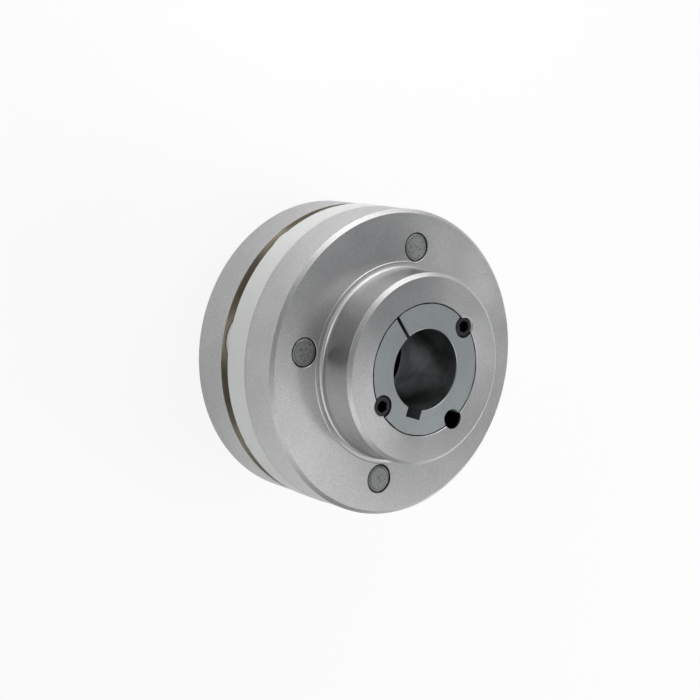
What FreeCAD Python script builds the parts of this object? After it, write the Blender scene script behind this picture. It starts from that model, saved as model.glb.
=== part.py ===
# Pin and disc flexible coupling with two tapered split bushings.
# Millimetres. The shaft axis is Z. The rear hub's end face lies on the plane z = 0,
# the front hub looks up along +Z, and the front keyway points along +Y.
import FreeCAD, Part
import math
import os

V = FreeCAD.Vector

# Hub
HUB_LENGTH = 38.1
FLANGE_THICKNESS = 19.05
FLANGE_R = 66.675
BOSS_R = 41.275
HUB_CHAMFER = 1.6          # outer corners of the boss and of the flange
RIM_BREAK = 0.4            # inner corner of the flange
BASE_RING_WIDTH = 3.125    # low step around the foot of the boss
BASE_RING_HEIGHT = 0.3
BASE_FILLET = 2.0          # foot of the boss, above the step
HUB_MOUTH_CHAMFER = 0.25

# Tapered split bushing, as long as its hub
BUSHING_LARGE_R = 28.575
TAPER_DEG = 4.0            # on each side
TAPER_CLEARANCE = 0.04
BUSHING_SINK = 0.25        # its large face lies this far below the hub's face
BUSHING_EDGE = 0.35
BORE_R = 17.4625
BORE_EDGE = 0.3
KEYWAY_WIDTH = 7.9375
KEYWAY_DEPTH = 3.85        # at the middle of the keyway, below the bore's wall
SLIT_WIDTH = 1.6

# Set screws and the holes between bushing and hub
SCREW_R = 4.7625
SCREW_LENGTH = 15.875
SCREW_RECESS = 0.4
SCREW_CHAMFER = 0.7
SCREW_POINT = 1.4
SOCKET_WIDTH = 4.7625      # across the flats of the hexagon
SOCKET_DEPTH = 5.0
SCREW_HOLE_CLEARANCE = 0.14
SCREW_INSET = 1.775        # from the rim of the bushing's large end to the screw's axis
JACK_HOLE_R = 4.6
JACK_INSET = 0.975
THREAD_RUN_OUT = 2.8       # a threaded half hole is this much deeper than the plain half

# Angles about the axis, from +X, as seen on the half's own outer face
KEYWAY_ANGLE = 90.0
JACK_FROM_KEYWAY = 53.1
SCREW_FROM_JACK = 94.4
SLIT_FROM_JACK = 180.0
PIN_FROM_KEYWAY = 8.4

# Drive pins
PIN_COUNT = 4              # on each hub
PIN_R = 6.35
PIN_INSET = 3.175          # nearer to the boss than the middle of the flange's land
PIN_RECESS = 0.15
PIN_SEAT_CLEARANCE = 0.02
PIN_HOLE_CHAMFER = 0.35
PIN_HEAD_CHAMFER = 1.5
PIN_HEAD_DROP = 0.45
PIN_LEAD_IN = 1.5
PIN_END_GAP = 1.0          # from a pin's end to the other hub's flange

# Flexing disc
FLANGE_GAP = 18.3          # between the two flanges' inner faces
DISC_PROUD = 0.275         # beyond the flanges' rims
DISC_BODY = 13.0
DISC_SIDE_CLEARANCE = 0.15
DISC_HOLE_R = 31.75
DISC_ROUNDING = 0.8
DISC_BOSS_WALL = 7.45      # around a pin hole
DISC_BOSS_FILLET = 0.8
DISC_BOSS_ROUNDING = 0.5
PIN_RUNNING_CLEARANCE = 0.4
DISC_PIN_HOLE_CHAMFER = 0.5

OVERALL_LENGTH = 2 * HUB_LENGTH + FLANGE_GAP
BOSS_HEIGHT = HUB_LENGTH - FLANGE_THICKNESS
BASE_RING_R = BOSS_R + BASE_RING_WIDTH
BUSHING_LENGTH = HUB_LENGTH
PIN_CIRCLE_R = (BOSS_R + FLANGE_R) / 2 - PIN_INSET
SCREW_CIRCLE_R = BUSHING_LARGE_R - SCREW_INSET
JACK_CIRCLE_R = BUSHING_LARGE_R - JACK_INSET
PIN_ANGLE = KEYWAY_ANGLE + PIN_FROM_KEYWAY
PIN_PITCH = 360.0 / PIN_COUNT
JACK_ANGLE = KEYWAY_ANGLE + JACK_FROM_KEYWAY
SCREW_ANGLES = (JACK_ANGLE - SCREW_FROM_JACK, JACK_ANGLE + SCREW_FROM_JACK)
SLIT_ANGLE = JACK_ANGLE + SLIT_FROM_JACK
SCREW_HOLE_R = SCREW_R + SCREW_HOLE_CLEARANCE
SCREW_SEAT = SCREW_RECESS + SCREW_LENGTH
DISC_R = FLANGE_R + DISC_PROUD
DISC_BOSS_R = PIN_R + PIN_RUNNING_CLEARANCE + DISC_BOSS_WALL
DISC_BOSS_HEIGHT = FLANGE_GAP - DISC_BODY - 2 * DISC_SIDE_CLEARANCE
OVERCUT = 1.0              # how far a cutting tool runs past the face that it cuts


def polar(radius, angle_deg, z=0.0):
    """The point at this radius and angle about the axis."""
    a = math.radians(angle_deg)
    return V(radius * math.cos(a), radius * math.sin(a), z)


def turned(profile):
    """A solid turned about Z from a closed outline of (radius, z) points.

    An entry of two points is an arc: a point on it, and its end.
    """
    start = V(profile[0][0], 0, profile[0][1])
    here, edges = start, []
    for step in list(profile[1:]) + [profile[0]]:
        if isinstance(step[0], tuple):
            middle, end = (V(r, 0, z) for r, z in step)
            edges.append(Part.Arc(here, middle, end).toShape())
        else:
            end = V(step[0], 0, step[1])
            edges.append(Part.LineSegment(here, end).toShape())
        here = end
    face = Part.Face(Part.Wire(edges))
    return face.revolve(V(0, 0, 0), V(0, 0, 1), 360)


def corner(centre_r, centre_z, radius, mid_deg, end_deg):
    """An arc for turned(), about a centre, given by its middle and end directions."""
    def at(deg):
        a = math.radians(deg)
        return (centre_r + radius * math.cos(a), centre_z + radius * math.sin(a))
    return (at(mid_deg), at(end_deg))


def radial_slot(width, inner_r, outer_r, angle_deg, low_z, high_z):
    """A box that runs outwards along one direction, centred on it."""
    box = Part.makeBox(outer_r - inner_r, width, high_z - low_z, V(inner_r, -width / 2, low_z))
    box.rotate(V(0, 0, 0), V(0, 0, 1), angle_deg)
    return box


def taper_r(depth):
    """Radius of the bushing's taper at a depth below the hub's outer face."""
    return BUSHING_LARGE_R - (depth - BUSHING_SINK) * math.tan(math.radians(TAPER_DEG))


def half_hole(circle_r, angle_deg, radius, depth):
    """A round cutter between bushing and hub, from the outer face to a depth."""
    return Part.makeCylinder(radius, depth + OVERCUT, polar(circle_r, angle_deg, -depth))


# A half coupling is drawn with its outer face on z = 0, and reaches down to -HUB_LENGTH.

def hub():
    """Flange, boss and tapered bore, with the pin holes and the hub's share of the half holes."""
    step_z = BASE_RING_HEIGHT - BOSS_HEIGHT
    wall = TAPER_CLEARANCE / math.cos(math.radians(TAPER_DEG))
    mouth_r = taper_r(0) + wall + HUB_MOUTH_CHAMFER
    solid = turned([
        (mouth_r, 0),
        (BOSS_R - HUB_CHAMFER, 0),
        (BOSS_R, -HUB_CHAMFER),
        (BOSS_R, step_z + BASE_FILLET),
        corner(BOSS_R + BASE_FILLET, step_z + BASE_FILLET, BASE_FILLET, 225, 270),
        (BASE_RING_R - BASE_RING_HEIGHT, step_z),
        (BASE_RING_R, -BOSS_HEIGHT),
        (FLANGE_R - HUB_CHAMFER, -BOSS_HEIGHT),
        (FLANGE_R, -BOSS_HEIGHT - HUB_CHAMFER),
        (FLANGE_R, RIM_BREAK - HUB_LENGTH),
        (FLANGE_R - RIM_BREAK, -HUB_LENGTH),
        (taper_r(HUB_LENGTH) + wall, -HUB_LENGTH),
        (taper_r(HUB_MOUTH_CHAMFER) + wall, -HUB_MOUTH_CHAMFER),
    ])
    cutters = [half_hole(JACK_CIRCLE_R, JACK_ANGLE, JACK_HOLE_R, SCREW_SEAT)]
    for angle in SCREW_ANGLES:
        cutters.append(half_hole(SCREW_CIRCLE_R, angle, SCREW_HOLE_R, SCREW_SEAT + THREAD_RUN_OUT))
    hole_r = PIN_R + PIN_SEAT_CLEARANCE
    hole = Part.makeCylinder(hole_r, FLANGE_THICKNESS + 2 * OVERCUT, V(0, 0, -HUB_LENGTH - OVERCUT))
    sink = Part.makeCone(hole_r, hole_r + PIN_HOLE_CHAMFER, PIN_HOLE_CHAMFER,
                         V(0, 0, -BOSS_HEIGHT - PIN_HOLE_CHAMFER))
    for k in range(PIN_COUNT):
        for tool in (hole, sink):
            cutters.append(tool.translated(polar(PIN_CIRCLE_R, PIN_ANGLE + k * PIN_PITCH)))
    return solid.cut(cutters)


def bushing():
    """Tapered bushing, cut through by its slit, with a keyway and three half holes."""
    top, foot = -BUSHING_SINK, -BUSHING_SINK - BUSHING_LENGTH
    solid = turned([
        (BORE_R + BORE_EDGE, top),
        (taper_r(BUSHING_SINK) - BUSHING_EDGE, top),
        (taper_r(BUSHING_SINK + BUSHING_EDGE), top - BUSHING_EDGE),
        (taper_r(-foot), foot),
        (BORE_R + BORE_EDGE, foot),
        (BORE_R, foot + BORE_EDGE),
        (BORE_R, top - BORE_EDGE),
    ])
    low, high = foot - OVERCUT, top + OVERCUT
    cutters = [
        radial_slot(KEYWAY_WIDTH, 0, BORE_R + KEYWAY_DEPTH, KEYWAY_ANGLE, low, high),
        radial_slot(SLIT_WIDTH, 0, BUSHING_LARGE_R + OVERCUT, SLIT_ANGLE, low, high),
        half_hole(JACK_CIRCLE_R, JACK_ANGLE, JACK_HOLE_R, SCREW_SEAT + THREAD_RUN_OUT),
    ]
    for angle in SCREW_ANGLES:
        cutters.append(half_hole(SCREW_CIRCLE_R, angle, SCREW_HOLE_R, SCREW_SEAT))
    return solid.cut(cutters)


def set_screw(angle_deg):
    """Socket set screw, standing on the floor of the bushing's half hole."""
    top, foot = -SCREW_RECESS, -SCREW_SEAT
    solid = turned([
        (0, top),
        (SCREW_R - SCREW_CHAMFER, top),
        (SCREW_R, top - SCREW_CHAMFER),
        (SCREW_R, foot + SCREW_POINT),
        (SCREW_R - SCREW_POINT, foot),
        (0, foot),
    ])
    corners = [polar(SOCKET_WIDTH / math.sqrt(3), 60 * k, top - SOCKET_DEPTH) for k in range(7)]
    socket = Part.Face(Part.makePolygon(corners)).extrude(V(0, 0, SOCKET_DEPTH + OVERCUT))
    solid = solid.cut(socket)
    solid.rotate(V(0, 0, 0), V(0, 0, 1), angle_deg)
    solid.translate(polar(SCREW_CIRCLE_R, angle_deg))
    return solid


def drive_pin(angle_deg):
    """Pin pressed through the flange, with a long lead-in at the end that enters the disc."""
    top = -BOSS_HEIGHT - PIN_RECESS
    foot = -HUB_LENGTH - FLANGE_GAP + PIN_END_GAP
    solid = turned([
        (0, top),
        (PIN_R - PIN_HEAD_CHAMFER, top),
        (PIN_R, top - PIN_HEAD_DROP),
        (PIN_R, foot + PIN_LEAD_IN),
        (PIN_R - PIN_LEAD_IN, foot),
        (0, foot),
    ])
    solid.translate(polar(PIN_CIRCLE_R, angle_deg))
    return solid


def half_coupling():
    """All pieces of one half, by name."""
    pieces = {"hub": hub(), "bushing": bushing()}
    for k, angle in enumerate(SCREW_ANGLES, 1):
        pieces["set_screw_%d" % k] = set_screw(angle)
    for k in range(PIN_COUNT):
        pieces["pin_%d" % (k + 1)] = drive_pin(PIN_ANGLE + k * PIN_PITCH)
    return pieces


# The disc lies between the flanges: flat towards the front one, on bosses towards the rear one.

def disc_boss():
    """Round boss around a pin hole, drawn on its own axis, hanging from the disc's flat side."""
    foot = -DISC_BOSS_HEIGHT
    root_r = DISC_BOSS_R + DISC_BOSS_FILLET
    face_r = DISC_BOSS_R - DISC_BOSS_ROUNDING
    return turned([
        (0, OVERCUT),
        (root_r, OVERCUT),
        (root_r, 0),
        corner(root_r, -DISC_BOSS_FILLET, DISC_BOSS_FILLET, 135, 180),
        (DISC_BOSS_R, foot + DISC_BOSS_ROUNDING),
        corner(face_r, foot + DISC_BOSS_ROUNDING, DISC_BOSS_ROUNDING, 315, 270),
        (0, foot),
    ])


def disc_pin_hole():
    """Cutter for one pin hole through body and boss, with a chamfer at each end."""
    hole_r = PIN_R + PIN_RUNNING_CLEARANCE
    mouth_r = hole_r + DISC_PIN_HOLE_CHAMFER + OVERCUT
    top, foot = DISC_BODY + OVERCUT, -DISC_BOSS_HEIGHT - OVERCUT
    return turned([
        (0, top),
        (mouth_r, top),
        (hole_r, DISC_BODY - DISC_PIN_HOLE_CHAMFER),
        (hole_r, DISC_PIN_HOLE_CHAMFER - DISC_BOSS_HEIGHT),
        (mouth_r, foot),
        (0, foot),
    ])


def flex_disc():
    """Moulded ring with one hole and boss for each pin of both hubs."""
    r = DISC_ROUNDING
    solid = turned([
        (DISC_HOLE_R, r),
        corner(DISC_HOLE_R + r, r, r, 225, 270),
        (DISC_R - r, 0),
        corner(DISC_R - r, r, r, 315, 0),
        (DISC_R, DISC_BODY - r),
        corner(DISC_R - r, DISC_BODY - r, r, 45, 90),
        (DISC_HOLE_R + r, DISC_BODY),
        corner(DISC_HOLE_R + r, DISC_BODY - r, r, 135, 180),
    ])
    places = [polar(PIN_CIRCLE_R, PIN_ANGLE + k * PIN_PITCH / 2) for k in range(2 * PIN_COUNT)]
    solid = solid.fuse([disc_boss().translated(place) for place in places])
    solid = solid.cut([disc_pin_hole().translated(place) for place in places])
    solid.translate(V(0, 0, HUB_LENGTH + DISC_SIDE_CLEARANCE + DISC_BOSS_HEIGHT))
    return solid.removeSplitter()


def place_front(shape):
    """Lifts a half coupling's piece to the front end."""
    placed = shape.copy()
    placed.translate(V(0, 0, OVERALL_LENGTH))
    return placed


def place_rear(shape):
    """Turns a half coupling's piece end for end, its pins midway between the front ones."""
    placed = shape.copy()
    placed.rotate(V(0, 0, 0), V(1, 0, 0), 180)
    placed.rotate(V(0, 0, 0), V(0, 0, 1), 2 * PIN_ANGLE + PIN_PITCH / 2)
    return placed


def build():
    """Every node by name, in its place."""
    nodes = {"flex_disc": flex_disc()}
    for name, shape in half_coupling().items():
        nodes["front_" + name] = place_front(shape)
        nodes["rear_" + name] = place_rear(shape)
    return nodes


os.makedirs("parts", exist_ok=True)
for name, shape in build().items():
    solid = shape.Solids[0] if len(shape.Solids) == 1 else shape
    solid.exportStep("parts/%s.step" % name)
    print("%-20s solids %d valid %s volume %.1f" % (name, len(shape.Solids), shape.isValid(), shape.Volume))
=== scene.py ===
"""Pin and disc flexible coupling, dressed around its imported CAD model.

All lengths are in metres. The shaft axis is Z, and the front half looks up along +Z.
"""
import math

import bmesh
import bpy
from bpy.props import FloatProperty, FloatVectorProperty, IntProperty, PointerProperty
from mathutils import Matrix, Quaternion, Vector


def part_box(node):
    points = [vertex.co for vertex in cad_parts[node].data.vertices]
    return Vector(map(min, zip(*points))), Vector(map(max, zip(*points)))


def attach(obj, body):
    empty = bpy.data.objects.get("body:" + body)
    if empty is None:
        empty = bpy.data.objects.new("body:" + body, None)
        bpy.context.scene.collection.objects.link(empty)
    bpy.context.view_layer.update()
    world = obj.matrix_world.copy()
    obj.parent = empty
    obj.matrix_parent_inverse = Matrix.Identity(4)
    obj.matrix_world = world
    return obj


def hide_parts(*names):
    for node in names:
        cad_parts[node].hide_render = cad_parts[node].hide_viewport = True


bl_info = {
    "name": "Pin and Disc Coupling",
    "version": (1, 0, 0),
    "blender": (4, 5, 0),
    "location": "3D View > Sidebar > Coupling",
    "description": "Builds a flexible shaft coupling: two flanged hubs, drive pins and a disc",
    "category": "Add Mesh",
}

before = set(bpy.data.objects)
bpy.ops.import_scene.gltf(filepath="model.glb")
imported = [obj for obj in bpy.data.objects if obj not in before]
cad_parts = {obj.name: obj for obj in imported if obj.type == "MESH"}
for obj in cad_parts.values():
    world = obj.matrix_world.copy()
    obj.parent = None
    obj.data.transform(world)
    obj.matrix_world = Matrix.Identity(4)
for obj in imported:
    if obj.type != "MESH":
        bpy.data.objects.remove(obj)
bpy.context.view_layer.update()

HUB_LOW, HUB_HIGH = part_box("front_hub")
DISC_LOW, DISC_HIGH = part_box("flex_disc")
PIN_LOW, PIN_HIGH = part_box("front_pin_1")
SCREW_LOW, SCREW_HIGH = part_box("front_set_screw_1")
BUSH_LOW, BUSH_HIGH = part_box("front_bushing")
MM = 0.001

# Vertices nearer than this are merged, and less strictly on threads and rounded corners
WELD = 1e-7
LOOSE_WELD = 1e-6
# How far a cutter reaches past the face that it cuts, and how many faces a small round part has
OVER = MM
SMALL_STEPS = 96
THREAD_STEPS = 48

# Dark oil with painted shade, dark marks, and painted brownish shade in the gap, on the metal; and
# how far from the axis the oil and painted shade reach on the hubs
OIL_AND_SHADE = (0.012, 0.012, 0.013)
HEAD_MARKS = (0.03, 0.031, 0.032)
GAP_PAINTED_SHADE = (0.40, 0.34, 0.23)
OIL_AND_SHADE_REACH = 32.5 * MM

# Scales of noise, per metre: turned rings, wider rings, blasted grain and soft patches on metal,
# and cloudiness and grain on the elastomer
RING_SCALE, BROAD_RING_SCALE, GRAIN_SCALE, PATCH_SCALE = 2600.0, 900.0, 1600.0, 45.0
CLOUD_SCALE, MOULD_SCALE = 60.0, 1500.0
# Depth of the relief that they give
METAL_RELIEF, MOULD_RELIEF = 0.012 * MM, 0.02 * MM

# Each soft box: direction and height above the floor in degrees, distance, width and height in
# metres, and whether metal mirrors it
LAMPS = {
    "window": (171, 7, 1.2, 0.92, 0.36, True),
    "upper": (162, 30, 1.2, 0.46, 0.5, True),
    "spot": (165, 50, 1.2, 0.25, 0.25, True),
    "near": (274, 22, 0.33, 0.26, 0.33, True),
    "near_low": (300, 12, 0.32, 0.17, 0.17, True),
    "near_high": (288, 42, 0.36, 0.22, 0.22, True),
    "fill": (350, 12, 1.2, 0.87, 0.5, True),
    "back": (72, 42, 1.2, 1.1, 0.9, True),
    "high": (225, 65, 1.2, 0.5, 0.5, True),
    "floor": (185, 38, 1.2, 0.5, 0.5, False),
}

# How much of the white floor and backdrop metal mirrors
WHITE_IN_METAL = 0.06


# Sizes, finishes and stage that a user may change

def length(name, text, default):
    """A length in metres."""
    return FloatProperty(name=name, description=text, default=default, min=0.0, precision=5,
                         subtype='DISTANCE', unit='LENGTH')


def angle(name, text, degrees):
    """An angle, kept in radians."""
    return FloatProperty(name=name, description=text, default=math.radians(degrees),
                         subtype='ANGLE', unit='ROTATION')


def colour(name, text, default):
    """A plain colour, linear."""
    return FloatVectorProperty(name=name, description=text, default=default, size=3, min=0.0,
                               max=1.0, subtype='COLOR')


def share(name, text, default):
    """A share from nothing to all."""
    return FloatProperty(name=name, description=text, default=default, min=0.0, max=1.0,
                         subtype='FACTOR')


def power(name, text, default):
    """A lamp's power in watts."""
    return FloatProperty(name=name, description=text, default=default, min=0.0, unit='POWER')


class COUPLING_PG_hub(bpy.types.PropertyGroup):
    """Sizes of the flanged hub."""
    top: length("Top", "Height of the front hub's outer face", HUB_HIGH.z)
    hub_length: length("Length", "Length of one hub", HUB_HIGH.z - HUB_LOW.z)
    flange_radius: length("Flange radius", "Radius of the flange", HUB_HIGH.x)
    flange_thickness: length("Flange thickness", "Thickness of the flange", 19.05 * MM)
    boss_radius: length("Boss radius", "Radius of the boss", 41.275 * MM)
    chamfer: length("Chamfer", "Outer corners of boss and flange", 1.6 * MM)
    rim_break: length("Rim break", "Inner corner of the flange", 0.4 * MM)
    ring_radius: length("Foot ring", "Radius of the low step around the boss", 44.4 * MM)
    ring_height: length("Foot ring height", "Height of the low step", 0.3 * MM)
    foot_fillet: length("Foot fillet", "Rounding at the foot of the boss", 2.0 * MM)
    mouth_chamfer: length("Mouth chamfer", "Edge of the tapered bore", 0.25 * MM)
    edge_rounding: length("Edge rounding", "Worn edge of every turned corner", 0.2 * MM)
    steps: IntProperty(name="Steps", description="Faces around a turned piece", default=256,
                       min=32, max=512)


class COUPLING_PG_bushing(bpy.types.PropertyGroup):
    """Sizes of the tapered split bushing."""
    large_radius: length("Large radius", "Radius of the bushing's large end", 28.575 * MM)
    bushing_length: length("Length", "Length of the bushing", BUSH_HIGH.z - BUSH_LOW.z)
    taper: angle("Taper", "Taper on each side", 4.0)
    clearance: length("Clearance", "Gap between the two tapers", 0.04 * MM)
    sink: length("Sink", "Depth of its large face below the hub's face", HUB_HIGH.z - BUSH_HIGH.z)
    edge: length("Edge", "Chamfer around the large end", 0.35 * MM)
    bore_radius: length("Bore radius", "Radius of the shaft's bore", 17.4625 * MM)
    bore_edge: length("Bore edge", "Chamfer at the bore's ends", 0.3 * MM)
    keyway_width: length("Keyway width", "Width of the keyway", 7.9375 * MM)
    keyway_depth: length("Keyway depth", "Depth of the keyway at its middle", 3.85 * MM)
    keyway_angle: angle("Keyway angle", "Direction of the keyway", 90.0)
    slit_width: length("Slit width", "Width of the slit", 1.6 * MM)
    slit_angle: angle("Slit angle", "Direction of the slit", 323.1)
    jack_radius: length("Jack hole radius", "Plain half of the empty hole", 4.6 * MM)
    jack_circle: length("Jack hole circle", "Distance of the empty hole from the axis", 27.6 * MM)
    jack_angle: angle("Jack hole angle", "Direction of the empty hole", 143.1)


class COUPLING_PG_fasteners(bpy.types.PropertyGroup):
    """Sizes of the set screws and of the drive pins."""
    screw_radius: length("Screw radius", "Radius over the thread", 4.7625 * MM)
    screw_length: length("Screw length", "Length of a set screw", SCREW_HIGH.z - SCREW_LOW.z)
    screw_recess: length("Screw recess", "Depth of a screw below the hub's face",
                         HUB_HIGH.z - SCREW_HIGH.z)
    screw_chamfer: length("Screw chamfer", "Outer corner of a screw", 0.7 * MM)
    screw_point: length("Screw point", "Chamfer at the inner end of a screw", 1.4 * MM)
    thread_pitch: length("Thread pitch", "Height of one turn of the thread", 1.5875 * MM)
    thread_depth: length("Thread depth", "Depth of the thread", 0.86 * MM)
    socket_width: length("Socket width", "Hexagon across its flats", 4.7625 * MM)
    socket_depth: length("Socket depth", "Depth of the hexagon", 5.0 * MM)
    hole_clearance: length("Hole clearance", "Gap around a screw", 0.14 * MM)
    screw_circle: length("Screw circle", "Distance of a screw from the axis", 26.8 * MM)
    screw_angle_1: angle("First screw angle", "Direction of the first screw", 48.7)
    screw_angle_2: angle("Second screw angle", "Direction of the second screw", 237.5)
    run_out: length("Thread run-out", "How much deeper a threaded half hole is", 2.8 * MM)
    pin_radius: length("Pin radius", "Radius of a drive pin", 6.35 * MM)
    pin_length: length("Pin length", "Length of a drive pin", PIN_HIGH.z - PIN_LOW.z)
    pin_circle: length("Pin circle", "Distance of a pin from the axis", 50.8 * MM)
    pin_angle: angle("Pin angle", "Direction of the first pin", 98.4)
    pin_count: IntProperty(name="Pins", description="Pins on each hub", default=4, min=2, max=8)
    pin_recess: length("Pin recess", "Depth of a pin's head below the flange", 0.15 * MM)
    pin_head_chamfer: length("Head chamfer", "Width of the chamfer on a pin's head", 1.5 * MM)
    pin_head_drop: length("Head drop", "Depth of the chamfer on a pin's head", 0.45 * MM)
    pin_lead_in: length("Lead-in", "Chamfer at a pin's inner end", 1.5 * MM)
    pin_hole_clearance: length("Pin hole clearance", "Gap around a pin in its flange", 0.02 * MM)
    pin_hole_chamfer: length("Pin hole chamfer", "Edge of a pin's hole in the flange", 0.15 * MM)


class COUPLING_PG_disc(bpy.types.PropertyGroup):
    """Sizes of the moulded disc."""
    radius: length("Radius", "Outer radius of the disc", DISC_HIGH.x)
    low: length("Low", "Height of the bosses' faces", DISC_LOW.z)
    high: length("High", "Height of the disc's flat side", DISC_HIGH.z)
    body: length("Body", "Thickness between the bosses", 13.0 * MM)
    hole_radius: length("Centre hole", "Radius of the hole in the middle", 31.75 * MM)
    rounding: length("Rounding", "Rounding of the disc's edges", 0.8 * MM)
    boss_radius: length("Boss radius", "Radius of the boss around a pin hole", 14.2 * MM)
    boss_fillet: length("Boss fillet", "Rounding at the foot of a boss", 0.8 * MM)
    boss_rounding: length("Boss rounding", "Rounding of a boss's edge", 0.5 * MM)
    pin_hole_radius: length("Pin hole radius", "Radius of a pin hole", 6.75 * MM)
    pin_hole_chamfer: length("Pin hole chamfer", "Edge of a pin hole", 0.5 * MM)


class COUPLING_PG_finish(bpy.types.PropertyGroup):
    """Colours and roughness of the materials."""
    hub_colour: colour("Hub", "Turned steel of the hubs", (0.56, 0.555, 0.555))
    hub_roughness: share("Hub roughness", "Roughness of the hubs", 0.33)
    bushing_colour: colour("Bushing", "Phosphated iron of the bushings", (0.40, 0.425, 0.43))
    bushing_roughness: share("Bushing roughness", "Roughness of the bushings", 0.4)
    pin_colour: colour("Pins", "Ground steel of the pins", (0.33, 0.335, 0.335))
    pin_roughness: share("Pin roughness", "Roughness of the pins", 0.5)
    screw_colour: colour("Screws", "Black oxide on the set screws", (0.055, 0.056, 0.058))
    screw_roughness: share("Screw roughness", "Roughness of the set screws", 0.38)
    disc_colour: colour("Disc", "White elastomer of the disc", (0.74, 0.745, 0.725))
    disc_roughness: share("Disc roughness", "Roughness of the disc", 0.5)


class COUPLING_PG_stage(bpy.types.PropertyGroup):
    """Camera, lamps, world and floor."""
    aim: FloatVectorProperty(name="Aim", description="Point that the camera looks at",
                             default=(0.003019, -0.000855, 0.04488), subtype='XYZ', unit='LENGTH')
    distance: length("Distance", "Camera's distance from that point", 0.70029)
    azimuth: angle("Azimuth", "Camera's direction around the axis", 93.67)
    elevation: angle("Elevation", "Camera's height above the horizon", 51.295)
    roll: angle("Roll", "Turn of the camera about its own axis", 102.77)
    lens: FloatProperty(name="Lens", description="Focal length in millimetres", default=80.706,
                        min=10.0, unit='CAMERA')
    window_power: power("Window", "Low light on the side that the faces mirror", 6.7)
    upper_power: power("Upper window", "Light above the window", 0.98)
    spot_power: power("Spot", "Small light above the upper window", 0.24)
    near_power: power("Near", "Soft box close to the object, at the picture's top", 0.35)
    near_low_power: power("Near low", "Small soft box beside that one, lower", 0.115)
    near_high_power: power("Near high", "Small soft box beside that one, higher", 0.088)
    fill_power: power("Fill", "Low light on the camera's side", 1.9)
    back_power: power("Back", "Light at the picture's bottom", 3.15)
    high_power: power("High", "Light high above the object", 0.72)
    floor_power: power("Floor light", "Lights floor and elastomer, and isn't seen in metal", 3.9)
    bore_power: power("Bore light", "Light that comes through the bore from behind", 0.0021)
    world_colour: colour("World colour", "Colour of the world's light", (0.93, 0.97, 1.0))
    world_strength: FloatProperty(name="World", description="Strength of the world's light",
                                  default=0.26, min=0.0)
    floor_white: share("Floor white", "How much of the floor is white to the camera; the rest "
                       "shows the shadow", 0.88)
    floor_colour: colour("Floor", "Colour of the floor", (0.9, 0.9, 0.9))


# Modelling

def deselect():
    """Nothing selected, so that an operator acts only on what it is given."""
    for thing in list(bpy.context.selected_objects):
        thing.select_set(False)


def choose(piece):
    """Only this piece selected, and active."""
    deselect()
    piece.select_set(True)
    bpy.context.view_layer.objects.active = piece


def edit(piece):
    """Goes into edit mode on one piece, with all of it selected."""
    choose(piece)
    bpy.ops.object.mode_set(mode='EDIT')
    bpy.ops.mesh.select_mode(type='VERT')
    bpy.ops.mesh.select_all(action='SELECT')


def leave():
    """Back to object mode."""
    bpy.ops.object.mode_set(mode='OBJECT')


def pick(piece, wanted):
    """Selects the vertices whose place passes the test."""
    mesh = bmesh.from_edit_mesh(piece.data)
    for vertex in mesh.verts:
        vertex.select_set(wanted(vertex.co))
    mesh.select_flush_mode()
    bmesh.update_edit_mesh(piece.data)


def outline(name, points, lift=0.0, closed=True):
    """An outline in the XZ plane, drawn from point to point and left in edit mode.

    A point is its radius and height. Where its corner is rounded, the cut and the number of
    segments follow.
    """
    deselect()
    bpy.ops.mesh.primitive_plane_add(size=MM)
    piece = bpy.context.object
    piece.name = name
    edit(piece)
    bpy.ops.mesh.merge(type='CENTER')
    places = [Vector((p[0], 0.0, p[1] + lift)) for p in points]
    bpy.ops.transform.translate(value=places[0])
    for here, there in zip(places, places[1:]):
        step = there - here
        bpy.ops.mesh.extrude_region_move(TRANSFORM_OT_translate={"value": step})
    if closed:
        bpy.ops.mesh.select_all(action='SELECT')
        bpy.ops.mesh.edge_face_add()
    for place, point in zip(places, points):
        if len(point) > 2:
            pick(piece, lambda co: (co - place).length < LOOSE_WELD)
            bpy.ops.mesh.bevel(offset=point[2], segments=point[3], affect='VERTICES')
    return piece


def turned(name, points, steps, lift=0.0):
    """A solid turned about Z from a closed outline."""
    piece = outline(name, points, lift)
    bpy.ops.mesh.select_all(action='SELECT')
    bpy.ops.mesh.delete(type='ONLY_FACE')
    bpy.ops.mesh.select_all(action='SELECT')
    bpy.ops.mesh.spin(steps=steps, angle=2 * math.pi, center=(0, 0, 0), axis=(0, 0, 1),
                      use_auto_merge=False)
    bpy.ops.mesh.select_all(action='SELECT')
    bpy.ops.mesh.remove_doubles(threshold=WELD)
    bpy.ops.mesh.delete_loose(use_verts=True, use_edges=True, use_faces=False)
    bpy.ops.mesh.select_all(action='SELECT')
    bpy.ops.mesh.normals_make_consistent(inside=False)
    leave()
    return piece


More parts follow.
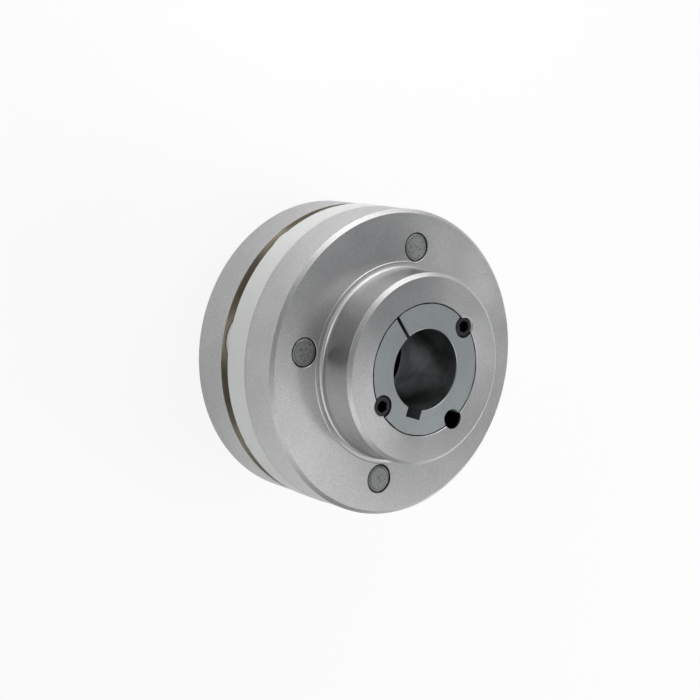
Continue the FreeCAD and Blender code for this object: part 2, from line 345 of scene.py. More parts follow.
def threaded(name, major, depth, pitch, low, high):
    """A solid with a right-hand thread, closed at its two ends, on the Z axis.

    The flat at the root takes a quarter of the pitch, and the one at the crest an eighth.
    """
    minor = major - depth
    turns = math.ceil((high - low) / pitch) + 3
    start = low - 1.5 * pitch
    piece = outline(name, [
        (minor, start), (minor, start + pitch / 4), (major, start + pitch * 9 / 16),
        (major, start + pitch * 11 / 16), (minor, start + pitch)], closed=False)
    leave()
    thread = piece.modifiers.new("thread", 'SCREW')
    thread.angle = 2 * math.pi
    thread.screw_offset = pitch
    thread.iterations = turns
    thread.steps = thread.render_steps = THREAD_STEPS
    thread.use_merge_vertices = True
    thread.merge_threshold = LOOSE_WELD
    thread.use_normal_calculate = True
    apply_modifiers(piece)
    edit(piece)
    bpy.ops.mesh.remove_doubles(threshold=LOOSE_WELD)
    bpy.ops.mesh.bisect(plane_co=(0, 0, low), plane_no=(0, 0, 1), use_fill=True,
                        clear_inner=True, threshold=WELD)
    bpy.ops.mesh.select_all(action='SELECT')
    bpy.ops.mesh.bisect(plane_co=(0, 0, high), plane_no=(0, 0, 1), use_fill=True,
                        clear_outer=True, threshold=WELD)
    bpy.ops.mesh.select_all(action='SELECT')
    bpy.ops.mesh.normals_make_consistent(inside=False)
    leave()
    return piece


def apply_modifiers(piece):
    """Applies every modifier in order."""
    choose(piece)
    for modifier in list(piece.modifiers):
        bpy.ops.object.modifier_apply(modifier=modifier.name)


def copy_of(piece, name):
    """A copy with its own mesh."""
    choose(piece)
    bpy.ops.object.duplicate(linked=False)
    made = bpy.context.object
    made.name = name
    return made


def settle(piece):
    """Puts a piece's place into its mesh."""
    choose(piece)
    bpy.ops.object.transform_apply(location=True, rotation=True, scale=True)
    return piece


def turn_about_axis(piece, turn):
    """Turns a piece about the shaft axis, anticlockwise seen from above."""
    choose(piece)
    bpy.ops.transform.rotate(value=-turn, orient_axis='Z', center_override=(0, 0, 0))
    return settle(piece)


def carried_to(piece, radius, direction, lift=0.0):
    """Turns a piece that stands on the axis to a direction, and moves it out and up."""
    turn_about_axis(piece, direction)
    bpy.ops.transform.translate(value=(radius * math.cos(direction),
                                       radius * math.sin(direction), lift))
    return settle(piece)


def remove(piece):
    """Removes a piece and its mesh."""
    mesh = piece.data
    bpy.data.objects.remove(piece)
    bpy.data.meshes.remove(mesh)


def joined(pieces):
    """Several separate pieces as one."""
    choose(pieces[0])
    for piece in pieces[1:]:
        piece.select_set(True)
    bpy.ops.object.join()
    return pieces[0]


def boolean(piece, tools, operation='DIFFERENCE'):
    """Cuts, adds or keeps what the tools cover, all of them at once, and removes them."""
    tool = joined(tools)
    step = piece.modifiers.new("cut", 'BOOLEAN')
    step.object = tool
    step.operation = operation
    step.solver = 'EXACT'
    apply_modifiers(piece)
    remove(tool)
    edit(piece)
    bpy.ops.mesh.remove_doubles(threshold=WELD)
    leave()


def rod(radius, low, high, place=(0.0, 0.0), vertices=SMALL_STEPS):
    """A round cutter that stands between two heights."""
    deselect()
    bpy.ops.mesh.primitive_cylinder_add(vertices=vertices, radius=radius, depth=high - low,
                                        location=(place[0], place[1], (low + high) / 2))
    return settle(bpy.context.object)


def bar(width, inner, outer, direction, low, high):
    """A square cutter that runs outwards along one direction."""
    deselect()
    bpy.ops.mesh.primitive_cube_add(size=1, location=((inner + outer) / 2, 0, (low + high) / 2),
                                    scale=(outer - inner, width, high - low))
    return turn_about_axis(settle(bpy.context.object), direction)


def polar(radius, direction):
    """The point at this radius and angle about the axis."""
    return radius * math.cos(direction), radius * math.sin(direction)


def shade(piece, degrees=32.0):
    """Smooth shading between sharp edges, with flat faces kept flat."""
    choose(piece)
    bpy.ops.object.shade_smooth_by_angle(angle=math.radians(degrees), keep_sharp_edges=False)
    normals = piece.modifiers.new("normals", 'WEIGHTED_NORMAL')
    normals.keep_sharp = True
    normals.weight = 50
    apply_modifiers(piece)


def dress(piece, material, body, node):
    """Gives a finished piece its material and its body, makes sure that it lies where its CAD node
    does, and hides that node.
    """
    piece.data.materials.clear()
    piece.data.materials.append(material)
    low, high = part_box(node)
    allowed = 0.3 * MM
    for axis in range(3):
        side = [corner[axis] for corner in piece.bound_box]
        if abs(min(side) - low[axis]) > allowed or abs(max(side) - high[axis]) > allowed:
            raise RuntimeError(f"{piece.name} does not lie where {node} does")
    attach(piece, body)
    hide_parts(node)


def pin_direction(pins, number):
    """Direction of a front pin, counted from 0. The rear ones lie midway, at halves."""
    return pins.pin_angle + number * 2 * math.pi / pins.pin_count


def both_halves(piece, name, material, node, sizes):
    """Dresses the front piece, and turns a copy of it end for end for the rear half."""
    rear = copy_of(piece, name.format("rear"))
    bpy.ops.transform.rotate(value=math.pi, orient_axis='X',
                             center_override=(0, 0, sizes.hub.top / 2))
    settle(rear)
    pins = sizes.fasteners
    # The half turn has put the first pin at minus its angle, and it goes midway to the next one
    turn_about_axis(rear, 2 * pins.pin_angle + math.pi / pins.pin_count)
    piece.name = name.format("front")
    for half, side in ((piece, "front"), (rear, "rear")):
        dress(half, material, side + "_half", f"{side}_{node}")


class Sizes:
    """The scene's property groups under short names."""

    def __init__(self, scene):
        self.hub = scene.coupling_hub
        self.bushing = scene.coupling_bushing
        self.fasteners = scene.coupling_fasteners
        self.disc = scene.coupling_disc
        self.finish = scene.coupling_finish
        self.stage = scene.coupling_stage


def taper_radius(sizes, depth):
    """Radius of the bushing's taper at a depth below the hub's outer face."""
    bush = sizes.bushing
    return bush.large_radius - (depth - bush.sink) * math.tan(bush.taper)


def rounded(radius, height, rounding, turn_degrees=45.0, segments=2):
    """A corner point with a small rounding, for outline()."""
    return (radius, height, rounding * math.tan(math.radians(turn_degrees / 2)), segments)


# Materials

def add(tree, kind, inputs=(), **settings):
    """A node with its settings, and its inputs set or linked."""
    made = tree.nodes.new(kind)
    for key, value in settings.items():
        setattr(made, key, value)
    for key, value in dict(inputs).items():
        if isinstance(value, bpy.types.NodeSocket):
            tree.links.new(value, made.inputs[key])
        else:
            made.inputs[key].default_value = value
    return made


def fresh_material(name):
    """An empty node material and its tree."""
    material = bpy.data.materials.new(name)
    material.use_nodes = True
    material.node_tree.nodes.clear()
    return material, material.node_tree


def noise(tree, vector, scale, detail=2.0, roughness=0.5):
    """Noise between 0 and 1, at a scale per metre."""
    return add(tree, 'ShaderNodeTexNoise', {"Vector": vector, "Scale": scale, "Detail": detail,
                                            "Roughness": roughness}).outputs['Fac']


def remap(tree, value, low, high, to_low, to_high):
    """A value brought from one range to another, and kept in it."""
    return add(tree, 'ShaderNodeMapRange', {"Value": value, "From Min": low, "From Max": high,
                                            "To Min": to_low, "To Max": to_high}).outputs[0]


def spread(tree, value, to_low, to_high):
    """Noise brought to a range, where most of it lies between 0.3 and 0.7."""
    return remap(tree, value, 0.3, 0.7, to_low, to_high)


def calc(tree, operation, a, b=0.0):
    """One step of arithmetic."""
    made = add(tree, 'ShaderNodeMath', operation=operation)
    for socket, value in zip(made.inputs, (a, b)):
        if isinstance(value, bpy.types.NodeSocket):
            tree.links.new(value, socket)
        else:
            socket.default_value = value
    return made.outputs[0]


def scaled(tree, colour_value, factor):
    """A colour made lighter or darker by a value."""
    made = add(tree, 'ShaderNodeVectorMath', {0: colour_value, "Scale": factor}, operation='SCALE')
    return made.outputs[0]


def turned_place(tree):
    """The place, and the same as distance from the axis and height, whose patterns run around."""
    place = add(tree, 'ShaderNodeTexCoord').outputs['Object']
    flat = add(tree, 'ShaderNodeVectorMath', {0: place, 1: (1, 1, 0)}, operation='MULTIPLY')
    distance = add(tree, 'ShaderNodeVectorMath', {0: flat.outputs[0]}, operation='LENGTH')
    height = add(tree, 'ShaderNodeSeparateXYZ', {0: place}).outputs['Z']
    around = add(tree, 'ShaderNodeCombineXYZ', {0: distance.outputs['Value'], 1: height})
    return place, around.outputs[0]


def principled(tree, **inputs):
    """A principled surface, linked to the material's output."""
    names = {key.replace("_", " "): value for key, value in inputs.items()}
    surface = add(tree, 'ShaderNodeBsdfPrincipled', names)
    add(tree, 'ShaderNodeOutputMaterial', {"Surface": surface.outputs[0]})
    return surface


def metal(name, tint, roughness, grooves, grain, speckle, patches, anisotropy=0.0, stains_and_painted_shade=(),
          painted_rim_sheen=None):
    """Worked metal: turning grooves, blasted grain, fine speckle, soft patches, and stains that
    include painted shade.

    A stain is a colour and a function that gives its share at each place; some are painted shade.
    The painted rim sheen is a radius, and how much brighter the metal is painted beyond it.
    """
    material, tree = fresh_material(name)
    place, around = turned_place(tree)
    ring = noise(tree, around, RING_SCALE, 3.0, 0.6)
    broad_ring = noise(tree, around, BROAD_RING_SCALE, 2.0)
    fine = noise(tree, place, GRAIN_SCALE, 2.0, 0.7)
    patch = noise(tree, place, PATCH_SCALE, 3.0)
    lightness = calc(tree, 'MULTIPLY', spread(tree, fine, 1 - speckle, 1 + speckle),
                     spread(tree, patch, 1 - patches, 1 + patches))
    lightness = calc(tree, 'MULTIPLY', lightness,
                     spread(tree, broad_ring, 1 - grooves * 0.04, 1 + grooves * 0.04))
    # painted sheen: the metal is painted brighter on the flange's rim
    if painted_rim_sheen:
        radius = add(tree, 'ShaderNodeSeparateXYZ', {0: around}).outputs['X']
        lightness = calc(tree, 'MULTIPLY', lightness, remap(
            tree, radius, painted_rim_sheen[0] - 0.4 * MM, painted_rim_sheen[0], 1.0, painted_rim_sheen[1]))
    dull = calc(tree, 'ADD', spread(tree, patch, -0.03, 0.03),
                spread(tree, ring, roughness - 0.02, roughness + 0.02))
    heights = calc(tree, 'ADD', calc(tree, 'MULTIPLY', ring, grooves),
                   calc(tree, 'MULTIPLY', fine, grain))
    bump = add(tree, 'ShaderNodeBump', {"Height": heights, "Strength": 1.0,
                                        "Distance": METAL_RELIEF})
    base = scaled(tree, tuple(tint), lightness)
    for tone, share_at in stains_and_painted_shade:
        mixed = add(tree, 'ShaderNodeMix', {"Factor": share_at(tree, place, around), "A": base,
                                            "B": tone}, data_type='VECTOR')
        base = mixed.outputs[1]
    surface = principled(tree, Base_Color=base, Metallic=1.0, Roughness=dull,
                         Normal=bump.outputs[0], Anisotropic=anisotropy)
    if anisotropy:
        tangent = add(tree, 'ShaderNodeTangent', direction_type='RADIAL', axis='Z')
        tree.links.new(tangent.outputs[0], surface.inputs['Tangent'])
    return material


def seam_dirt_and_shade(inner, outer):
    """Dirt and painted shade in a joint: dark between two radii, with a ragged border."""
    def share_at(tree, place, around):
        radius = add(tree, 'ShaderNodeSeparateXYZ', {0: around}).outputs['X']
        ragged = spread(tree, noise(tree, place, 260.0, 3.0), -0.12 * MM, 0.12 * MM)
        return remap(tree, calc(tree, 'ADD', radius, ragged), inner, outer, 0.0, 1.0)
    return share_at


def away_from(tree, place, middle):
    """How far a place is from the coupling's middle, along the axis."""
    height = add(tree, 'ShaderNodeSeparateXYZ', {0: place}).outputs['Z']
    return calc(tree, 'ABSOLUTE', calc(tree, 'SUBTRACT', height, middle))


def cavity_oil_and_shade(middle, radius, least, most):
    """Oil and painted shade on all that lies deeper than the outer faces and nearer to the axis
    than the radius.
    """
    def share_at(tree, place, around):
        out = add(tree, 'ShaderNodeSeparateXYZ', {0: around}).outputs['X']
        # painted shade: darker more than 1.6 mm below the outer faces, mixed with oil
        deep = remap(tree, away_from(tree, place, middle), middle - 1.6 * MM,
                     middle - 0.6 * MM, 1.0, 0.0)
        near = remap(tree, out, radius, radius + MM, 1.0, 0.0)
        cloudy = remap(tree, noise(tree, place, 70.0, 3.0), 0.4, 0.62, least, most)
        return calc(tree, 'MULTIPLY', calc(tree, 'MULTIPLY', deep, near), cloudy)
    return share_at


def painted_gap_shade(middle, reach):
    """Painted brownish shade and reflection on the faces that look into the gap."""
    def share_at(tree, place, around):
        return remap(tree, away_from(tree, place, middle), reach + 0.02 * MM,
                     reach + 0.1 * MM, 0.75, 0.0)
    return share_at


def head_rings_and_blots(radius, chamfer, reach):
    """A dark outline and a fainter inner ring on a pin's head, from the piece's own attributes."""
    def share_at(tree, place, around):
        own = add(tree, 'ShaderNodeAttribute', attribute_name="own_radius").outputs['Fac']
        depth = add(tree, 'ShaderNodeAttribute', attribute_name="own_depth").outputs['Fac']
        ragged = spread(tree, noise(tree, place, 420.0, 3.0, 0.7), -0.22 * MM, 0.22 * MM)
        at = calc(tree, 'ADD', own, ragged)
        rim = remap(tree, at, radius - 0.85 * MM, radius - 0.5 * MM, 0.0, 1.0)
        away = calc(tree, 'ABSOLUTE', calc(tree, 'SUBTRACT', at, radius - chamfer))
        inner = remap(tree, away, 0.05 * MM, 0.3 * MM, 0.5, 0.0)
        blots = remap(tree, noise(tree, place, 700.0, 4.0, 0.7), 0.52, 0.68, 0.0, 0.55)
        marks = calc(tree, 'MAXIMUM', calc(tree, 'MAXIMUM', rim, inner), blots)
        return calc(tree, 'MULTIPLY', marks, remap(tree, depth, reach, reach + 0.4 * MM, 1.0, 0.0))
    return share_at


def elastomer(name, tint, roughness):
    """Moulded white elastomer, satin, a little cloudy."""
    material, tree = fresh_material(name)
    place = add(tree, 'ShaderNodeTexCoord').outputs['Object']
    cloud = noise(tree, place, CLOUD_SCALE, 3.0)
    fine = noise(tree, place, MOULD_SCALE, 3.0, 0.6)
    base = scaled(tree, tuple(tint), spread(tree, cloud, 0.97, 1.03))
    bump = add(tree, 'ShaderNodeBump', {"Height": fine, "Strength": 1.0,
                                        "Distance": MOULD_RELIEF})
    principled(tree, Base_Color=base,
               Roughness=spread(tree, cloud, roughness - 0.05, roughness + 0.05),
               Normal=bump.outputs[0], Subsurface_Weight=0.15, Subsurface_Scale=0.004)
    return material


def white_share(tree, to_camera):
    """How much of a surface is plain white: this much to the camera, and a little in metal."""
    rays = add(tree, 'ShaderNodeLightPath').outputs
    shown = calc(tree, 'MULTIPLY', rays['Is Camera Ray'], to_camera)
    mirrored = calc(tree, 'ADD', rays['Is Glossy Ray'], rays['Is Transmission Ray'])
    return calc(tree, 'ADD', shown, calc(tree, 'MULTIPLY', mirrored, WHITE_IN_METAL))


# Operators, one for each kind of piece

class COUPLING_OT_hubs(bpy.types.Operator):
    """Turns the flanged hub, bores its holes, and copies it for the rear half"""
    bl_idname = "coupling.hubs"
    bl_label = "Flanged Hubs"

    def execute(self, context):
        sizes = Sizes(context.scene)
        hub, bush, parts = sizes.hub, sizes.bushing, sizes.fasteners
        boss = hub.hub_length - hub.flange_thickness
        step = hub.ring_height - boss
        wall = bush.clearance / math.cos(bush.taper)
        soft = hub.edge_rounding
        piece = turned("hub", [
            (taper_radius(sizes, 0) + wall + hub.mouth_chamfer, 0),
            rounded(hub.boss_radius - hub.chamfer, 0, soft),
            rounded(hub.boss_radius, -hub.chamfer, soft),
            (hub.boss_radius, step, hub.foot_fillet, 8),
            (hub.ring_radius - hub.ring_height, step),
            (hub.ring_radius, -boss),
            rounded(hub.flange_radius - hub.chamfer, -boss, soft),
            rounded(hub.flange_radius, -boss - hub.chamfer, soft),
            (hub.flange_radius, -hub.hub_length, hub.rim_break, 2),
            (taper_radius(sizes, hub.hub_length) + wall, -hub.hub_length),
            (taper_radius(sizes, hub.mouth_chamfer) + wall, -hub.mouth_chamfer),
        ], hub.steps, hub.top)
        seat = parts.screw_recess + parts.screw_length
        hole = parts.pin_radius + parts.pin_hole_clearance
        sink = parts.pin_hole_chamfer
        cutter = turned("pin hole", [
            (0, -hub.hub_length - OVER), (hole, -hub.hub_length - OVER), (hole, -boss - sink),
            (hole + sink + OVER, -boss + OVER), (0, -boss + OVER)], SMALL_STEPS, hub.top)
        tools = [carried_to(copy_of(cutter, "hole"), parts.pin_circle, pin_direction(parts, k))
                 for k in range(parts.pin_count)]
        remove(cutter)
        tools.append(rod(bush.jack_radius, hub.top - seat, hub.top + OVER,
                         polar(bush.jack_circle, bush.jack_angle)))
        thread = threaded("hub thread", parts.screw_radius + parts.hole_clearance,
                          parts.thread_depth, parts.thread_pitch,
                          hub.top - seat - parts.run_out, hub.top + OVER)
        for direction in (parts.screw_angle_1, parts.screw_angle_2):
            tools.append(carried_to(copy_of(thread, "thread"), parts.screw_circle, direction))
        remove(thread)
        boolean(piece, tools)
        shade(piece)
        middle = hub.top / 2
        # painted brownish shade and reflection on the flange's inner face, in the gap
        gap_shade_share = painted_gap_shade(middle, middle - hub.hub_length)
        # oil with painted shade, near black, in the hub's bore and holes
        oil_and_shade_share = cavity_oil_and_shade(middle, OIL_AND_SHADE_REACH, 0.9, 0.95)
        steel = metal("turned_steel", sizes.finish.hub_colour, sizes.finish.hub_roughness,
                      grooves=0.3, grain=0.4, speckle=0.14, patches=0.06, anisotropy=0.8,
                      stains_and_painted_shade=((GAP_PAINTED_SHADE, gap_shade_share), (OIL_AND_SHADE, oil_and_shade_share)),
                      # painted sheen on the flange's rim
                      painted_rim_sheen=(hub.flange_radius, 1.1))
        both_halves(piece, "turned_hub_{}", steel, "hub", sizes)
        return {'FINISHED'}


class COUPLING_OT_bushings(bpy.types.Operator):
    """Turns the tapered bushing, cuts its slit, keyway and half holes, and copies it"""
    bl_idname = "coupling.bushings"
    bl_label = "Split Bushings"

    def execute(self, context):
        sizes = Sizes(context.scene)
        hub, bush, parts = sizes.hub, sizes.bushing, sizes.fasteners
        face, foot = -bush.sink, -bush.sink - bush.bushing_length
        soft = 0.5 * hub.edge_rounding
        piece = turned("bushing", [
            rounded(bush.bore_radius + bush.bore_edge, face, soft),
            rounded(taper_radius(sizes, bush.sink) - bush.edge, face, soft),
            rounded(taper_radius(sizes, bush.sink + bush.edge), face - bush.edge, soft),
            rounded(taper_radius(sizes, -foot), foot, soft, 90),
            rounded(bush.bore_radius + bush.bore_edge, foot, soft),
            (bush.bore_radius, foot + bush.bore_edge),
            (bush.bore_radius, face - bush.bore_edge),
        ], hub.steps, hub.top)
        low, high = hub.top + foot - OVER, hub.top + OVER
        seat = parts.screw_recess + parts.screw_length
        boolean(piece, [bar(bush.keyway_width, 0, bush.bore_radius + bush.keyway_depth,
                            bush.keyway_angle, low, high)])
        boolean(piece, [bar(bush.slit_width, 0, bush.large_radius + OVER, bush.slit_angle,
                            low, high)])
        thread = threaded("jack thread", parts.screw_radius + 0.5 * parts.hole_clearance,
                          parts.thread_depth, parts.thread_pitch,
                          hub.top - seat - parts.run_out, hub.top + OVER)
        tools = [carried_to(thread, bush.jack_circle, bush.jack_angle)]
        for direction in (parts.screw_angle_1, parts.screw_angle_2):
            tools.append(rod(parts.screw_radius + parts.hole_clearance, hub.top - seat,
                             hub.top + OVER, polar(parts.screw_circle, direction)))
        boolean(piece, tools)
        shade(piece)
        # dark oil with painted shade in the joint around the large end
        seam = seam_dirt_and_shade(bush.large_radius - 0.55 * MM, bush.large_radius - 0.38 * MM)
        # oil with painted shade in the bore, keyway, slit and half holes
        oil_and_shade_share = cavity_oil_and_shade(hub.top / 2, bush.large_radius, 0.0, 0.6)
        iron = metal("phosphated_iron", sizes.finish.bushing_colour,
                     sizes.finish.bushing_roughness, grooves=0.3, grain=0.7, speckle=0.1,
                     patches=0.05, stains_and_painted_shade=((OIL_AND_SHADE, seam), (OIL_AND_SHADE, oil_and_shade_share)))
        both_halves(piece, "split_bushing_{}", iron, "bushing", sizes)
        return {'FINISHED'}


class COUPLING_OT_set_screws(bpy.types.Operator):
    """Makes one socket set screw with a real thread, and copies it to its places"""
    bl_idname = "coupling.set_screws"
    bl_label = "Set Screws"

    def execute(self, context):
        sizes = Sizes(context.scene)
        hub, parts = sizes.hub, sizes.fasteners
        top = -parts.screw_recess
        foot = top - parts.screw_length
        wide = 0.3 * MM  # how far the shape that trims the ends stands out past the screw
        radius = parts.screw_radius
        piece = threaded("set screw", radius, parts.thread_depth, parts.thread_pitch,
                         hub.top + foot, hub.top + top)
        ends = turned("screw ends", [
            (0, top + wide), (radius - parts.screw_chamfer - wide, top + wide),
            (radius + wide, top - parts.screw_chamfer - wide),
            (radius + wide, foot + parts.screw_point + wide),
            (radius - parts.screw_point - wide, foot - wide), (0, foot - wide)],
            SMALL_STEPS, hub.top)
        boolean(piece, [ends], 'INTERSECT')
        corner_radius = parts.socket_width / math.sqrt(3)
        socket = rod(corner_radius, hub.top + top - parts.socket_depth, hub.top + OVER, vertices=6)
        turn_about_axis(socket, math.pi / 6)
        boolean(piece, [socket])
        shade(piece)
        black = metal("black_oxide", sizes.finish.screw_colour,
                      sizes.finish.screw_roughness, grooves=0.0, grain=0.6, speckle=0.1,
                      patches=0.1)
        for number, direction in enumerate((parts.screw_angle_1, parts.screw_angle_2), 1):
            screw = carried_to(copy_of(piece, "screw"), parts.screw_circle, direction)
            both_halves(screw, f"socket_screw_{{}}_{number}", black, f"set_screw_{number}",
                        sizes)
        remove(piece)
        return {'FINISHED'}


class COUPLING_OT_drive_pins(bpy.types.Operator):
    """Turns one drive pin with its chamfered head, and copies it to its places"""
    bl_idname = "coupling.drive_pins"
    bl_label = "Drive Pins"

    def execute(self, context):
        sizes = Sizes(context.scene)
        hub, parts = sizes.hub, sizes.fasteners
        top = -(hub.hub_length - hub.flange_thickness) - parts.pin_recess
        foot = top - parts.pin_length
        soft = hub.edge_rounding
        radius = parts.pin_radius
        piece = turned("pin", [
            (0, top),
            rounded(radius - parts.pin_head_chamfer, top, soft, 17),
            rounded(radius, top - parts.pin_head_drop, soft, 73),
            rounded(radius, foot + parts.pin_lead_in, soft),
            rounded(radius - parts.pin_lead_in, foot, soft),
            (0, foot)], SMALL_STEPS, hub.top)
        shade(piece, degrees=20)
        out = piece.data.attributes.new("own_radius", 'FLOAT', 'POINT')
        for vertex in piece.data.vertices:
            out.data[vertex.index].value = math.hypot(vertex.co.x, vertex.co.y)
        down = piece.data.attributes.new("own_depth", 'FLOAT', 'POINT')
        for vertex in piece.data.vertices:
            down.data[vertex.index].value = hub.top + top - vertex.co.z
        steel = metal("ground_steel", sizes.finish.pin_colour, sizes.finish.pin_roughness,
                      grooves=0.0, grain=1.2, speckle=0.16, patches=0.12,
                      stains_and_painted_shade=((HEAD_MARKS, head_rings_and_blots(radius, parts.pin_head_chamfer,
                                               parts.pin_head_drop)),))
        for k in range(parts.pin_count):
            pin = carried_to(copy_of(piece, "pin copy"), parts.pin_circle, pin_direction(parts, k))
            both_halves(pin, f"drive_pin_{{}}_{k + 1}", steel, f"pin_{k + 1}", sizes)
        remove(piece)
        return {'FINISHED'}


class COUPLING_OT_disc(bpy.types.Operator):
    """Moulds the disc with a boss and a hole for each pin"""
    bl_idname = "coupling.disc"
    bl_label = "Moulded Disc"

    def execute(self, context):
        sizes = Sizes(context.scene)
        disc, parts = sizes.disc, sizes.fasteners
        floor = disc.high - disc.body
        soft = disc.rounding
        piece = turned("disc", [
            (disc.hole_radius, floor, soft, 5), (disc.radius, floor, soft, 5),
            (disc.radius, disc.high, soft, 5), (disc.hole_radius, disc.high, soft, 5)],
            sizes.hub.steps)
        foot = disc.low
        # A boss's fillet ends a little inside the disc's body and has a short flat around it
        root = disc.boss_radius + disc.boss_fillet + 0.02 * MM
        sunk = floor + 0.01 * MM
        boss = turned("boss", [
            (0, floor + OVER), (root, floor + OVER), (root, sunk),
            (disc.boss_radius, sunk, disc.boss_fillet, 5),
            (disc.boss_radius, foot, disc.boss_rounding, 4), (0, foot)], SMALL_STEPS)
        edge = disc.pin_hole_radius + disc.pin_hole_chamfer + OVER
        hole = turned("disc hole", [
            (0, disc.high + OVER), (edge, disc.high + OVER),
            (disc.pin_hole_radius, disc.high - disc.pin_hole_chamfer),
            (disc.pin_hole_radius, foot + disc.pin_hole_chamfer), (edge, foot - OVER),
            (0, foot - OVER)], SMALL_STEPS)
        directions = [pin_direction(parts, k / 2) for k in range(2 * parts.pin_count)]
        for tool, operation in ((boss, 'UNION'), (hole, 'DIFFERENCE')):
            boolean(piece, [carried_to(copy_of(tool, "tool"), parts.pin_circle, direction)
                            for direction in directions], operation)
            remove(tool)
        shade(piece, degrees=30)
        piece.name = "moulded_disc"
        white = elastomer("moulded_elastomer", sizes.finish.disc_colour,
                          sizes.finish.disc_roughness)
        dress(piece, white, "disc", "flex_disc")
        return {'FINISHED'}


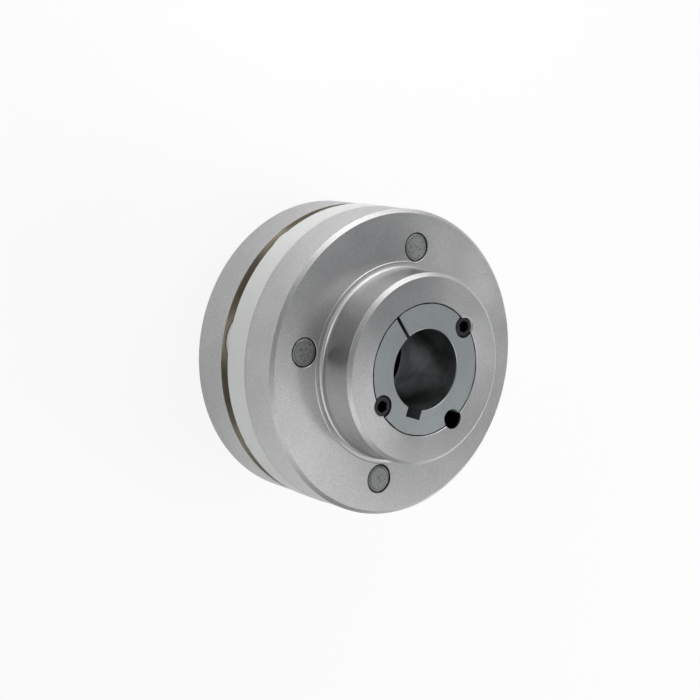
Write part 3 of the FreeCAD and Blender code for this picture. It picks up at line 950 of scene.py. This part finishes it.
class COUPLING_OT_stage(bpy.types.Operator):
    """Sets up the floor, the soft lights, the world and the camera"""
    bl_idname = "coupling.stage"
    bl_label = "Stage"

    def execute(self, context):
        stage = Sizes(context.scene).stage
        self.floor(stage)
        self.world(context.scene, stage)
        for name, setting in LAMPS.items():
            self.lamp(f"{name}_light", getattr(stage, f"{name}_power"), *setting)
        self.bore_lamp(stage)
        self.camera(context.scene, stage)
        context.scene.view_settings.view_transform = 'Standard'
        return {'FINISHED'}

    @staticmethod
    def floor(stage):
        """A plain pale floor that looks white and keeps the object's shadow."""
        deselect()
        bpy.ops.mesh.primitive_plane_add(size=12.0, location=(0, 0, 0))
        ground = bpy.context.object
        ground.name = "floor"
        edit(ground)
        bpy.ops.mesh.subdivide(number_cuts=3)
        leave()
        material, tree = fresh_material("floor_paper")
        paper = add(tree, 'ShaderNodeBsdfDiffuse', {"Color": (*stage.floor_colour, 1)})
        glow = add(tree, 'ShaderNodeEmission', {"Color": (1, 1, 1, 1), "Strength": 1.0})
        mixed = add(tree, 'ShaderNodeMixShader', {
            0: white_share(tree, stage.floor_white), 1: paper.outputs[0], 2: glow.outputs[0]})
        add(tree, 'ShaderNodeOutputMaterial', {"Surface": mixed.outputs[0]})
        ground.data.materials.append(material)

    @staticmethod
    def world(scene, stage):
        """A soft studio, pale all round, and white to the camera."""
        world = bpy.data.worlds.new("studio")
        scene.world = world
        world.use_nodes = True
        tree = world.node_tree
        tree.nodes.clear()
        studio = add(tree, 'ShaderNodeBackground', {"Color": (*stage.world_colour, 1),
                                                    "Strength": stage.world_strength})
        white = add(tree, 'ShaderNodeBackground', {"Color": (1, 1, 1, 1), "Strength": 1.0})
        mixed = add(tree, 'ShaderNodeMixShader', {
            0: white_share(tree, 1.0), 1: studio.outputs[0], 2: white.outputs[0]})
        add(tree, 'ShaderNodeOutputWorld', {"Surface": mixed.outputs[0]})

    @staticmethod
    def lamp(name, watts, around, above, away, width, height, mirrored):
        """A soft box that faces the object, placed by its direction and distance from it."""
        middle = Vector((0, 0, 50 * MM))
        a, e = math.radians(around), math.radians(above)
        way = Vector((math.cos(a) * math.cos(e), math.sin(a) * math.cos(e), math.sin(e)))
        place = middle + away * way
        lowest = height / 2 * math.cos(e) + 5 * MM
        place.z = max(place.z, lowest)
        deselect()
        bpy.ops.object.light_add(type='AREA', location=place)
        lamp = bpy.context.object
        lamp.name = name
        lamp.visible_camera = False
        lamp.visible_glossy = mirrored
        lamp.data.shape = 'RECTANGLE'
        lamp.data.size, lamp.data.size_y = width, height
        lamp.data.energy = watts
        lamp.rotation_mode = 'QUATERNION'
        lamp.rotation_quaternion = (middle - place).to_track_quat('-Z', 'Y')

    @staticmethod
    def bore_lamp(stage):
        """A small lamp on the floor under the bore, which is open at both ends in the photo."""
        deselect()
        bpy.ops.object.light_add(type='AREA', location=(0, 0, 0.5 * MM),
                                 rotation=(math.pi, 0, 0))
        lamp = bpy.context.object
        lamp.name = "bore_light"
        lamp.visible_camera = False
        lamp.data.shape = 'DISK'
        lamp.data.size = 30 * MM
        lamp.data.energy = stage.bore_power

    @staticmethod
    def camera(scene, stage):
        """The camera at the photograph's viewing angle."""
        a, e = stage.azimuth, stage.elevation
        back = Vector((math.sin(a) * math.cos(e), -math.cos(a) * math.cos(e), math.sin(e)))
        bpy.ops.object.camera_add(location=Vector(stage.aim) + back * stage.distance)
        camera = bpy.context.object
        camera.rotation_mode = 'QUATERNION'
        camera.rotation_quaternion = ((-back).to_track_quat('-Z', 'Y')
                                      @ Quaternion((0, 0, 1), stage.roll))
        camera.data.lens = stage.lens
        camera.data.sensor_width = 36.0
        camera.data.clip_start = 0.01
        scene.camera = camera


class COUPLING_PT_panel(bpy.types.Panel):
    """Lists the pieces of the coupling"""
    bl_idname = "COUPLING_PT_panel"
    bl_label = "Pin and Disc Coupling"
    bl_space_type = 'VIEW_3D'
    bl_region_type = 'UI'
    bl_category = "Coupling"

    def draw(self, context):
        for operator in OPERATORS:
            self.layout.operator(operator.bl_idname)
        for group in GROUPS:
            box = self.layout.box()
            box.label(text=group.capitalize())
            settings = getattr(context.scene, "coupling_" + group)
            for key in GROUPS[group].__annotations__:
                box.prop(settings, key)


GROUPS = {
    "hub": COUPLING_PG_hub,
    "bushing": COUPLING_PG_bushing,
    "fasteners": COUPLING_PG_fasteners,
    "disc": COUPLING_PG_disc,
    "finish": COUPLING_PG_finish,
    "stage": COUPLING_PG_stage,
}
OPERATORS = (COUPLING_OT_hubs, COUPLING_OT_bushings, COUPLING_OT_set_screws,
             COUPLING_OT_drive_pins, COUPLING_OT_disc, COUPLING_OT_stage)


def register():
    """Registers the classes and hangs the settings on the scene."""
    for kind in (*GROUPS.values(), *OPERATORS, COUPLING_PT_panel):
        bpy.utils.register_class(kind)
    for name, group in GROUPS.items():
        setattr(bpy.types.Scene, "coupling_" + name, PointerProperty(type=group))


def unregister():
    """Takes it all away again."""
    for name in GROUPS:
        delattr(bpy.types.Scene, "coupling_" + name)
    for kind in reversed((*GROUPS.values(), *OPERATORS, COUPLING_PT_panel)):
        bpy.utils.unregister_class(kind)


def main():
    register()
    bpy.ops.coupling.hubs()
    bpy.ops.coupling.bushings()
    bpy.ops.coupling.set_screws()
    bpy.ops.coupling.drive_pins()
    bpy.ops.coupling.disc()
    bpy.ops.coupling.stage()


if __name__ == "__main__":
    main()
